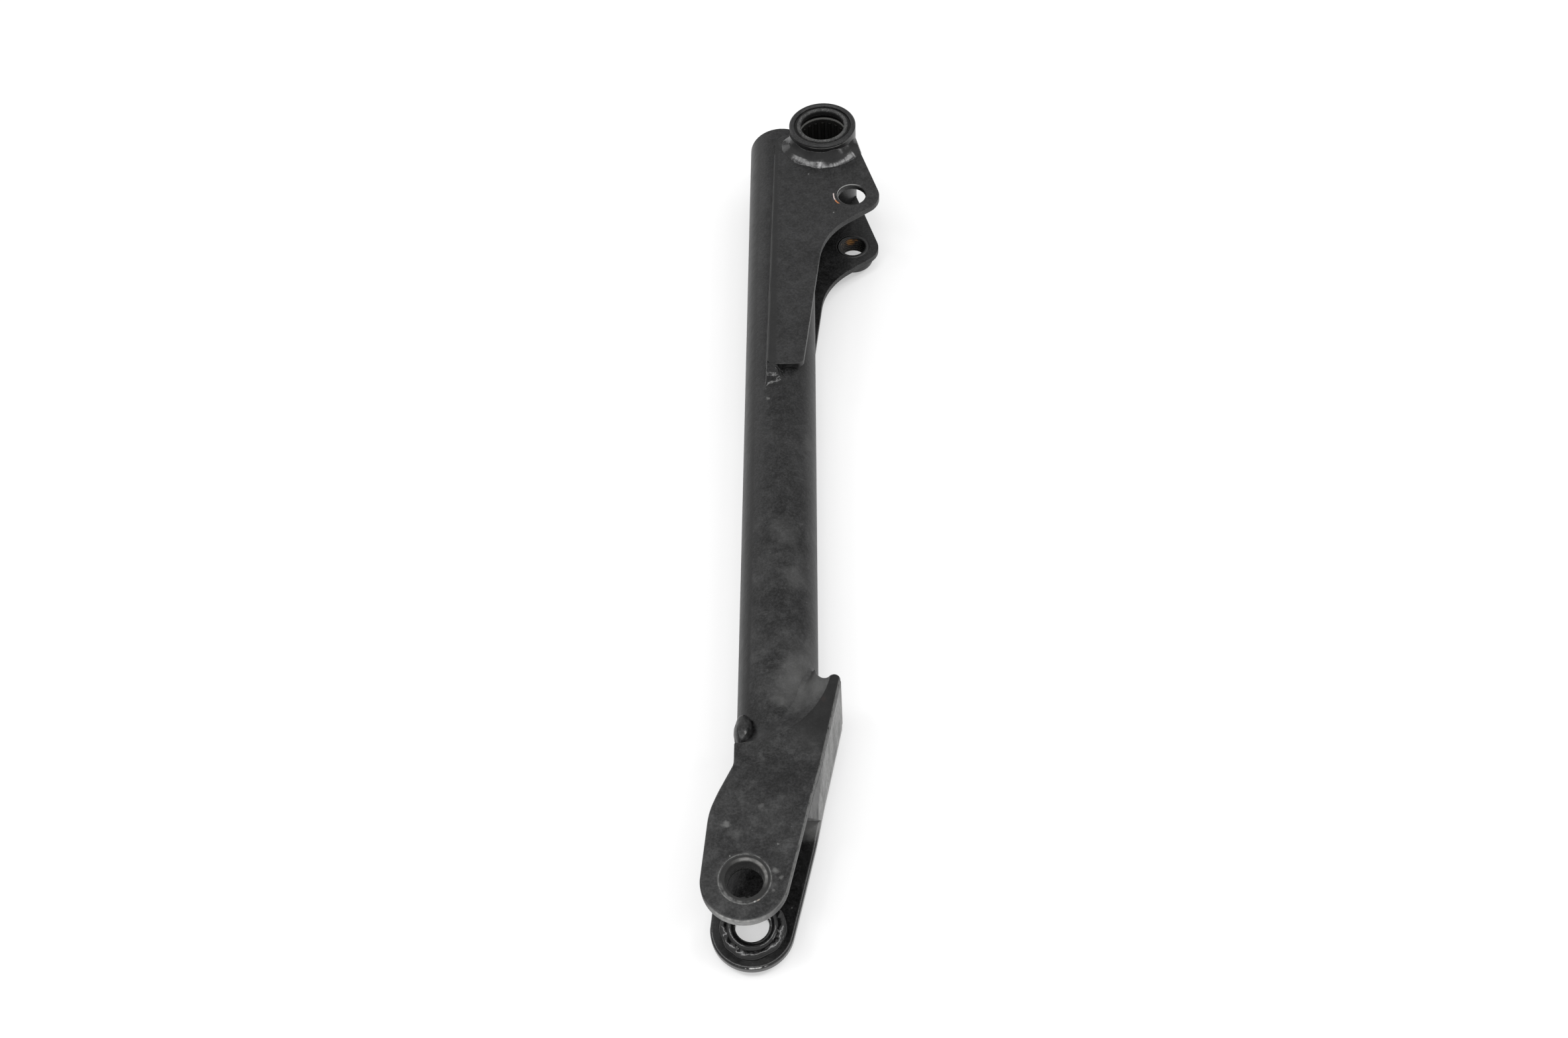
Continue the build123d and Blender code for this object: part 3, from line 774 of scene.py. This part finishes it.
def flow(mesh, freedom, rounds=160):
    """Lets a mesh relax where it is free, as melted metal would."""
    count = len(mesh.vertices)
    places = np.empty(count * 3)
    mesh.vertices.foreach_get("co", places)
    places = places.reshape(-1, 3) / MM
    pairs = np.empty(len(mesh.edges) * 2, int)
    mesh.edges.foreach_get("vertices", pairs)
    first, second = pairs.reshape(-1, 2).T
    degree = np.bincount(first, minlength=count) + np.bincount(second, minlength=count)
    free = (freedom(places) * 0.6)[:, None]
    for _ in range(rounds):
        near = np.empty_like(places)
        for axis in range(3):
            near[:, axis] = (np.bincount(first, places[second, axis], count)
                             + np.bincount(second, places[first, axis], count))
        places += (near / degree[:, None] - places) * free
    mesh.vertices.foreach_set("co", (places * MM).ravel())
    mesh.update()


def sleeve_point(low_y, high_y):
    """The places on a thin sleeve just under the tube's skin."""
    outer = tube_r - 0.06
    inner = tube_r - 1.6
    corners = [(outer, low_y), (outer, high_y), (inner, high_y), (inner, low_y)]

    def point(row, column):
        r, y = corners[round(row * 4) % 4]
        angle = column * 2 * math.pi
        around = polar(r, angle, x=tube_x)
        return Vector((around.x, y, around.y))
    return point


def keep_half(mesh, side):
    """Drops what lies on the far side of the leg, or near its middle plane."""
    least = 0.5 * MM
    builder = bmesh.new()
    builder.from_mesh(mesh)
    far = [v for v in builder.verts if v.co.z * side < least]
    bmesh.ops.delete(builder, geom=far, context="VERTS")
    builder.to_mesh(mesh)
    builder.free()


def threaded_nut():
    """The weld nut with a real helical thread in its bore."""
    thread = bpy.context.scene.stand_leg_thread
    pitch = thread.pitch / MM
    crest = thread.crest_r / MM
    depth = thread.depth / MM
    seat = -plate_top
    rungs = 80
    section = [
        (crest + nut_mouth, nut_top), (nut_pilot_r, nut_top), (nut_pilot_r, seat + 0.05),
        (nut_r - 0.25, seat), (nut_r, seat - 0.25), (nut_r, nut_foot + 0.8),
        (nut_r - 0.25, nut_foot + 0.25), (nut_r - 0.8, nut_foot), (crest + nut_mouth, nut_foot)]
    section += [(crest, nut_foot + (nut_top - nut_foot) * ((i + 0.5) / rungs)) for i in range(rungs)]

    def cut_thread(r, z, angle):
        if r > crest:
            return r, z
        phase = (z / pitch + angle / (2 * math.pi)) % 1.0
        groove = depth * min(1.0, max(0.0, 1.6 * (1 - abs(2 * phase - 1)) - 0.2))
        mouth = max(0.0, nut_mouth - min(z - nut_foot, nut_top - z))
        return crest + max(groove, mouth), z
    return lathe("threaded nut", section, nut_middle.x, nut_middle.y, 1, 96, cut_thread)


def lathe(name, section, x, y, side, count=128, wobble=None):
    """Spins (radius, height) points about an axis along Z into a closed ring."""
    rows = len(section)

    def point(row, column):
        index = round(row * rows) % rows
        r, z = section[index]
        angle = column * 2 * math.pi
        if wobble:
            r, z = wobble(r, z, angle)
        return polar(r, angle, side * z, x, y)
    return grid_mesh(name, rows, count, point, close_rows=True, close_columns=True)


def arc_points(r, z, radius, start, end, count, tall=None):
    """(radius, height) points on an arc, with its angles in degrees; tall makes it an ellipse."""
    angles = [math.radians(start + (end - start) * i / count) for i in range(count + 1)]
    return [(r + radius * math.cos(angle), z + (tall or radius) * math.sin(angle)) for angle in angles]


def fork_bush(side):
    """A bush whose mouth is worn round, in a shallow dish with a raised rim."""
    bore, face = pin_bore_r, flange_top
    section = [
        (bore, bush_foot + 0.5), (bore + 0.5, bush_foot), (bush_r, bush_foot), (bush_r, face - 0.1)]
    section += arc_points(bush_r - 0.3, face - 0.22, 0.26, 0, 180, 6)
    section += [(bush_r - 0.9, face - 0.34), (bush_r - 1.3, face - 0.30)]
    section += arc_points(bore + 1.0, face - 0.85, 0.55, 85, 165, 6)
    section += [(bore + 0.25, face - 1.5), (bore, face - 2.6), (bore, face - 6.0)]

    def wobble(r, z, angle):
        if z > face - 1.5:
            z += 0.07 * noise.noise(polar(r * 0.8, angle, side))
            r += 0.06 * noise.noise(polar(2.0, angle, side * 4))
        return r, z
    return lathe("fork bush", section, pin_middle.x, pin_middle.y, side, wobble=wobble)


def bush_bead(side):
    """A lumpy bead round a bush, on the inside of its flange, run over the bush's edge."""
    low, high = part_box("upper_bush_weld")
    outer = (high.x - low.x) / 2 / MM + 0.9
    inner = 7.3
    least_r = 6.6
    tall = (high.z - low.z) / MM + 0.10
    sunk = high.z / MM + 0.2
    middle_r = (inner + outer) / 2
    half = (outer - inner) / 2
    angles = [math.radians(degrees) for degrees in range(0, 181, 12)]
    section = [(middle_r + half * math.cos(angle), sunk - tall * math.sin(angle) ** 0.8)
               for angle in angles]

    def wobble(r, z, angle):
        share = max(0.0, (sunk - z) / tall)
        around = polar(1.0, angle, side)
        lump = noise.noise(around * 3.2 + Vector((0, 0, r * 0.35)))
        fold = noise.noise(around * 7.0 + Vector((r * 0.5, 0, 0)))
        z -= (0.45 * lump + 0.20 * fold) * share
        r += (r - middle_r) * 0.30 * noise.noise(around * 2.4)
        return max(r, least_r), min(z, sunk)
    return lathe("bush bead", section, pin_middle.x, pin_middle.y, side, count=240, wobble=wobble)


def tube_height(x):
    """Height of the tube's skin over the leg's middle plane."""
    away = min(abs(x - tube_x), tube_r)
    return math.sqrt(tube_r ** 2 - away ** 2)


def smooth_step(value, low, high):
    """0 at low, 1 at high and smooth between, whichever of them is larger."""
    share = min(1.0, max(0.0, (value - low) / (high - low)))
    return share * share * (3 - 2 * share)


def toe_patch(side):
    """The end of the seam bead: it carries the plate's level down onto the tube."""
    left = seam_foot.x - 1.3
    right = seam_foot.x + 7.6
    top = seam_foot.y + 1.0
    foot = seam_foot.y - 10.5

    def point(row, column):
        x = left + (right - left) * column
        y = top + (foot - top) * row
        fade_left = smooth_step(column, 0.0, 0.13)
        fade_right = 1 - smooth_step(column, 0.45, 1.0)
        fade_foot = 1 - smooth_step(row, 0.45, 0.93)
        crater = math.exp(-((x - seam_foot.x - 2.2) / 1.5) ** 2 - ((y - seam_foot.y + 7.6) / 1.2) ** 2)
        skin = tube_height(x)
        level = plate_top + 0.10
        lift = max(0.0, level - skin) * fade_left * fade_right * fade_foot
        lift *= 1 + 0.10 * noise.noise(Vector((x * 0.9, y * 0.9, side)))
        lift -= 0.55 * crater
        lift += 0.16 * noise.noise(Vector((x * 1.3, y * 1.3, 7.0))) * fade_left * fade_foot
        rim = min(row, 1 - row, column, 1 - column)
        return Vector((x, y, side * (skin + (lift if rim > 0.001 else -0.3))))
    return grid_mesh("toe patch", 60, 50, point)


def stop_lump(side):
    """The round-ended lump where the fork bead stops."""
    long = stop_reach.y / 2 * 1.25
    wide = 3.5
    tall = 5.0
    level = tube_height(stop_middle.x + 1.2) + 1.6

    def point(row, column):
        lie = (row - 0.5) * math.pi
        ring = polar(math.cos(lie), column * 2 * math.pi)
        across = Vector((ring.x, math.sin(lie), ring.y))
        size = 1 + 0.10 * noise.noise(across * 1.7 + Vector((0, 0, side)))
        size += 0.03 * noise.noise(across * 5.0)
        x = stop_middle.x + 0.3 + across.x * wide * size
        y = stop_middle.y + 1.0 + across.y * long * size
        return Vector((x, y, side * (level + across.z * tall * size)))
    return grid_mesh("stop lump", 40, 56, point, close_columns=True)


def seal_ring(side):
    """A lip seal: rounded face, a groove at its rim and a lip that points inwards."""
    foot = seal_face - seal_long
    section = [(seal_r, foot), (seal_r, seal_face - 1.15), (seal_r - 0.15, seal_face - 0.95),
               (seal_r - 0.5, seal_face - 1.5), (12.0, seal_face - 1.5)]
    section += arc_points(10.96, seal_face - 0.75, 0.93, 0, 180, 12, tall=0.75)
    section += [(seal_bore_r, seal_face - 1.3), (seal_bore_r, seal_face - 2.5),
                (seal_bore_r + 0.38, seal_face - 2.9), (11.0, foot + 0.6), (11.1, foot)]
    return lathe("seal ring", section, 0.0, 0.0, side)


def dress(nodes, material):
    """Gives CAD nodes their finish."""
    for name in nodes:
        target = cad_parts[name]
        target.data.materials.clear()
        target.data.materials.append(material)


# ---- operators ----

class StandLegOperator:
    """What every operator of the stand leg shares."""
    bl_options = {"REGISTER", "UNDO"}

    def execute(self, context):
        self.make(context)
        return {"FINISHED"}


class STANDLEG_OT_tube(StandLegOperator, bpy.types.Operator):
    """Paints the leg tube"""
    bl_idname = "stand_leg.tube"
    bl_label = "Leg tube"

    def make(self, context):
        marks = [
            (-18, -224, 15, 9, 0.10), (-13, -246, 14, 7, 0.10), (-8, -176, 9, 6, 0.12),
            (-8, -284, 12, 16, 0.22), (-24, -156, 14, 1.2, 0.5), (-18.5, -300, 15, 4, 0.10),
            (-14, -296, 14, 14, 0.12)]
        dress(["leg_tube"], black_paint("tube paint", shine=0.8, marks=marks, tint=painted_dark_reflection_stripe))


class STANDLEG_OT_side_plates(StandLegOperator, bpy.types.Operator):
    """Paints the two eared side plates"""
    bl_idname = "stand_leg.side_plates"
    bl_label = "Side plates"

    def make(self, context):
        marks = [(-6.8, -24.2, plate_top, 0.5, 0.9), (4.4, -50.1, plate_top, 0.5, 0.9),
                 (-2.7, -124.0, plate_top, 0.6, 0.8)]
        dress(["upper_side_plate"],
              black_paint("plate paint", marks=marks, extra=seam_highlight_line, tint=ear_scrape_and_sink_highlight))
        dress(["lower_side_plate"], black_paint("far plate paint", extra=seam_highlight_line))


class STANDLEG_OT_fork(StandLegOperator, bpy.types.Operator):
    """Paints the fork's flanges and the pale strip between them"""
    bl_idname = "stand_leg.fork"
    bl_label = "Fork"

    def make(self, context):
        top = flange_top
        marks = [
            (-18.8, -368.9, top, 1.6, 0.45), (-17.0, -371.3, top, 1.0, 0.4),
            (-35.9, -351.8, top, 1.9, 0.5), (-23.9, -345.4, top, 1.6, 0.20),
            (-19.6, -375.9, top, 0.8, 0.4), (-32.5, -356.0, top, 3.0, 0.10),
            (-34.3, -363.4, top, 0.4, 0.9), (-18.2, -359.4, top, 0.5, 0.6)]
        glow = [(-2.7, -301.9, 18.9, 1.4, (0.12, 0.07, 0.06), 0.35)]
        paint = black_paint("flange paint", shine=0.85, marks=marks, glow=glow, tint=dust_and_painted_light_on_flange)
        dress(["upper_fork_plate"], paint)
        dress(["lower_fork_plate"], black_paint("wet paint", gloss=0.75, shine=1.3, tint=below_strip_and_edge_highlight))
        # the strip's pale grey is dust together with painted light
        grey = dusty_grey_with_painted_light("dusty strip with painted light")
        new_piece("dusty_strip_with_painted_light", rounded_strip(), grey, ["fork_web"], sharp=25)


class STANDLEG_OT_bushes(StandLegOperator, bpy.types.Operator):
    """Builds the fork's bushes and the beads round them"""
    bl_idname = "stand_leg.bushes"
    bl_label = "Fork bushes"

    def make(self, context):
        top = flange_top
        glow = [
            (-28.8, -364.0, top, 0.5, (0.42, 0.24, 0.2), 0.9),
            (-23.7, -367.6, top, 0.6, (0.4, 0.3, 0.2), 0.8),
            (-24.4, -379.4, top, 0.7, (0.5, 0.36, 0.24), 0.9),
            (-25.7, -379.6, top, 0.5, (0.5, 0.5, 0.5), 0.9),
            (-27.5, -379.3, top, 0.4, (0.4, 0.4, 0.4), 0.8)]
        paint = black_paint("bush paint", glow=glow, extra=bush_wall, tint=bush_rim_and_painted_highlights)
        wet = black_paint("wet bead paint", gloss=0.9, lumps=0.3, shine=1.5)
        for side, way in SIDES.items():
            coat = paint if way > 0 else wet
            new_piece(side + "_bush", fork_bush(way), coat, [side + "_fork_bush"])
            new_piece(side + "_bush_bead", bush_bead(way), wet, [side + "_bush_weld"])


class STANDLEG_OT_boss(StandLegOperator, bpy.types.Operator):
    """Paints the pivot boss"""
    bl_idname = "stand_leg.boss"
    bl_label = "Pivot boss"

    def make(self, context):
        dress(["pivot_boss"], black_paint("boss paint", gloss=0.35, extra=rim_highlight_line))


class STANDLEG_OT_bearings(StandLegOperator, bpy.types.Operator):
    """Gives the bearing shells, cages and needles their steel"""
    bl_idname = "stand_leg.bearings"
    bl_label = "Bearings"

    def make(self, context):
        # dark levels as painted shade of the bore, and painted highlights on the shell lips and needle
        # tips
        steels = {
            "shell": shaded_oily_steel("shell steel", 0.03, 0.42, shell_lip_highlights),
            "cage": shaded_oily_steel("cage steel", 0.03, 0.5),
            "needles": shaded_oily_steel("needle steel", 0.012, 0.75, needle_tip_highlights)}
        for part, steel in steels.items():
            dress([side + "_bearing_" + part for side in SIDES], steel)


class STANDLEG_OT_seals(StandLegOperator, bpy.types.Operator):
    """Builds the two lip seals"""
    bl_idname = "stand_leg.seals"
    bl_label = "Seals"

    def make(self, context):
        rubber = dusty_rubber_with_painted_shade()
        for side, way in SIDES.items():
            new_piece(side + "_lip_seal", seal_ring(way), rubber, [side + "_seal"])


class STANDLEG_OT_nut(StandLegOperator, bpy.types.Operator):
    """Builds the weld nut with its thread"""
    bl_idname = "stand_leg.nut"
    bl_label = "Weld nut"

    def make(self, context):
        new_piece("threaded_weld_nut", threaded_nut(), rusty_nut(), ["ear_weld_nut"])


class STANDLEG_OT_boss_beads(StandLegOperator, bpy.types.Operator):
    """Builds the beads round the boss"""
    bl_idname = "stand_leg.boss_beads"
    bl_label = "Boss beads"

    def make(self, context):
        paint = black_paint("bead paint", gloss=0.88, shine=1.3)
        for side, way in SIDES.items():
            new_piece(side + "_boss_bead", boss_bead(way), paint, [side + "_boss_weld"])


class STANDLEG_OT_fork_beads(StandLegOperator, bpy.types.Operator):
    """Builds the smooth beads that join the fork to the tube"""
    bl_idname = "stand_leg.fork_beads"
    bl_label = "Fork beads"

    def make(self, context):
        # the first mark is a painted glint beside the stop lump
        marks = [(-30.6, -315.9, 16, 0.8, 1.0), (-4, -291, 14, 13, 0.26), (-11, -297, 17, 12, 0.14)]
        paint = black_paint("fork bead paint", marks=marks)
        # its mark is a painted glint on the lump's lower right
        lump_paint = black_paint("lump paint", gloss=0.15, marks=[(-30.2, -313.6, 17.0, 0.9, 1.0)])
        for side, way in SIDES.items():
            bead = side + "_fork_weld"
            new_piece(side + "_fork_bead", fork_skin(side), paint, [bead])
            new_piece(side + "_fork_stop", stop_lump(way), lump_paint, [bead + "_stop"])


class STANDLEG_OT_small_beads(StandLegOperator, bpy.types.Operator):
    """Paints the seam, rear and nut beads, and builds the seam beads' toes"""
    bl_idname = "stand_leg.small_beads"
    bl_label = "Small beads"

    def make(self, context):
        paint = black_paint("small bead paint", gloss=0.3)
        # painted glints on the crater where the seam bead ends
        toe_glints = [(-22.6, -147.6, 14.6, 1.0, 0.8), (-24.4, -147.9, 13.8, 0.5, 0.9),
                     (-21.0, -146.2, 15, 0.5, 0.6)]
        toe_paint = black_paint("toe paint", gloss=0.7, marks=toe_glints)
        names = ["ear_nut_weld"]
        for side, way in SIDES.items():
            names += [side + "_" + bead for bead in ("seam_weld", "rear_boss_weld")]
            new_piece(side + "_seam_toe", toe_patch(way), toe_paint, [side + "_toe_weld"])
        dress(names, paint)


class STANDLEG_OT_stage(StandLegOperator, bpy.types.Operator):
    """Lays the floor, hangs the lamps and sets the camera"""
    bl_idname = "stand_leg.stage"
    bl_label = "Stage"

    def make(self, context):
        stage = context.scene.stand_leg_stage
        self.lay_floor(context, stage)
        power = stage.lamp_power
        self.hang_lamp("window lamp", (-1.4, 1.1, 0.60), 0.9, power * 0.30)
        self.hang_lamp("top lamp", (-0.15, -0.45, 1.25), 0.24, power * 0.20)
        self.hang_arc(stage.camera_place, power * 0.15)
        self.hang_lamp("right lamp", (1.25, -0.55, 0.50), 0.30, power * 0.12)
        self.light_room(context, stage)
        self.set_camera(context, stage)

    def lay_floor(self, context, stage):
        finish = Finish("floor")
        soft = finish.grain(90.0, detail=2.0)
        worn = [c * 0.985 for c in stage.floor_colour]
        colour = finish.mix(soft.step(0.3, 0.7), stage.floor_colour, worn)
        matt = finish.add("ShaderNodeBsdfDiffuse", {}, {"Color": colour})
        pale = finish.add("ShaderNodeEmission", {}, {"Color": [1.0] * 4, "Strength": 1.0})
        rays = finish.add("ShaderNodeLightPath", outputs=(
            "Is Camera Ray", "Is Glossy Ray", "Is Transmission Ray"))
        seen = (rays[0] + rays[1] + rays[2]).at_most(1.0)
        near = finish.around(-15.0, -180.0).step(1100.0, 550.0)
        lifted = finish.add("ShaderNodeMixShader", {}, {0: seen * near * 0.40, 1: matt, 2: pale})
        material = finish.add_output("ShaderNodeOutputMaterial", lifted)
        half = 4000.0
        z = cad_box[0][2] / MM - 0.2

        def point(row, column):
            return Vector(((row - 0.5) * 2 * half, (column - 0.5) * 2 * half, z))
        mesh = grid_mesh("floor", 2, 2, point)
        mesh.materials.append(material)
        linked("floor", mesh)

    def hang_arc(self, eye_place, power):
        """An arc of lamps that the boss bead's slope mirrors towards the camera's first place."""
        eye = Vector(eye_place).normalized()
        tilt = math.radians(37)
        for degrees in range(228, 319, 10):
            slope = polar(math.sin(tilt), math.radians(degrees), math.cos(tilt))
            mirrored = slope * (2 * slope.dot(eye)) - eye
            self.hang_lamp("arc lamp", mirrored * 1.3, 0.20, power)

    def hang_lamp(self, name, place, size, power):
        lamp = bpy.data.lights.new(name, "AREA")
        lamp.shape = "DISK"
        lamp.size = size
        lamp.energy = power
        hung = linked(name, lamp)
        hung.location = place
        aim = Vector((0.0, -0.17, 0.0)) - Vector(place)
        hung.rotation_euler = aim.to_track_quat("-Z", "Y").to_euler()

    def light_room(self, context, stage):
        world = bpy.data.worlds.new("room")
        room = Finish("room", world)
        height = room.add("ShaderNodeSeparateXYZ", {}, {0: room.add("ShaderNodeTexCoord")}, outputs="Z")
        low_share = 0.42
        colour = room.mix(
            height.step(-0.05, 0.55), [stage.surround * low_share] * 3, [stage.surround] * 3)
        shine = room.add("ShaderNodeBackground", {}, {"Color": colour, "Strength": 1.0})
        room.add_output("ShaderNodeOutputWorld", shine)
        context.scene.world = world

    def set_camera(self, context, stage):
        lens = bpy.data.cameras.new("camera")
        lens.lens = stage.lens
        lens.sensor_width = 36.0
        lens.clip_start = 0.01
        lens.clip_end = 50.0
        camera = linked("camera", lens)
        camera.location = stage.camera_place
        camera.rotation_euler = stage.camera_turn
        context.scene.camera = camera
        context.scene.view_settings.view_transform = "Standard"


class STANDLEG_PT_panel(bpy.types.Panel):
    """Lists the pieces of the stand leg"""
    bl_idname = "STANDLEG_PT_panel"
    bl_label = "Stand leg"
    bl_space_type = "VIEW_3D"
    bl_region_type = "UI"
    bl_category = "Stand leg"

    def draw(self, context):
        for name in SETTINGS:
            box = self.layout.box()
            group = getattr(context.scene, name)
            for key in group.__annotations__:
                box.prop(group, key)
        for kind in OPERATORS:
            self.layout.operator(kind.bl_idname)


SETTINGS = {
    "stand_leg_paint": StandLegPaint,
    "stand_leg_welds": StandLegWelds,
    "stand_leg_thread": StandLegThread,
    "stand_leg_stage": StandLegStage,
}
OPERATORS = (
    STANDLEG_OT_tube, STANDLEG_OT_side_plates, STANDLEG_OT_fork, STANDLEG_OT_bushes, STANDLEG_OT_boss,
    STANDLEG_OT_bearings, STANDLEG_OT_seals, STANDLEG_OT_nut, STANDLEG_OT_boss_beads,
    STANDLEG_OT_fork_beads, STANDLEG_OT_small_beads, STANDLEG_OT_stage)


def register():
    for kind in (*SETTINGS.values(), *OPERATORS, STANDLEG_PT_panel):
        bpy.utils.register_class(kind)
    for name, kind in SETTINGS.items():
        setattr(bpy.types.Scene, name, bpy.props.PointerProperty(type=kind))


def unregister():
    for name in SETTINGS:
        delattr(bpy.types.Scene, name)
    for kind in reversed((*SETTINGS.values(), *OPERATORS, STANDLEG_PT_panel)):
        bpy.utils.unregister_class(kind)


def main():
    register()
    bpy.ops.stand_leg.stage()
    bpy.ops.stand_leg.tube()
    bpy.ops.stand_leg.side_plates()
    bpy.ops.stand_leg.fork()
    bpy.ops.stand_leg.bushes()
    bpy.ops.stand_leg.boss()
    bpy.ops.stand_leg.bearings()
    bpy.ops.stand_leg.seals()
    bpy.ops.stand_leg.nut()
    bpy.ops.stand_leg.boss_beads()
    bpy.ops.stand_leg.fork_beads()
    bpy.ops.stand_leg.small_beads()


if __name__ == "__main__":
    main()
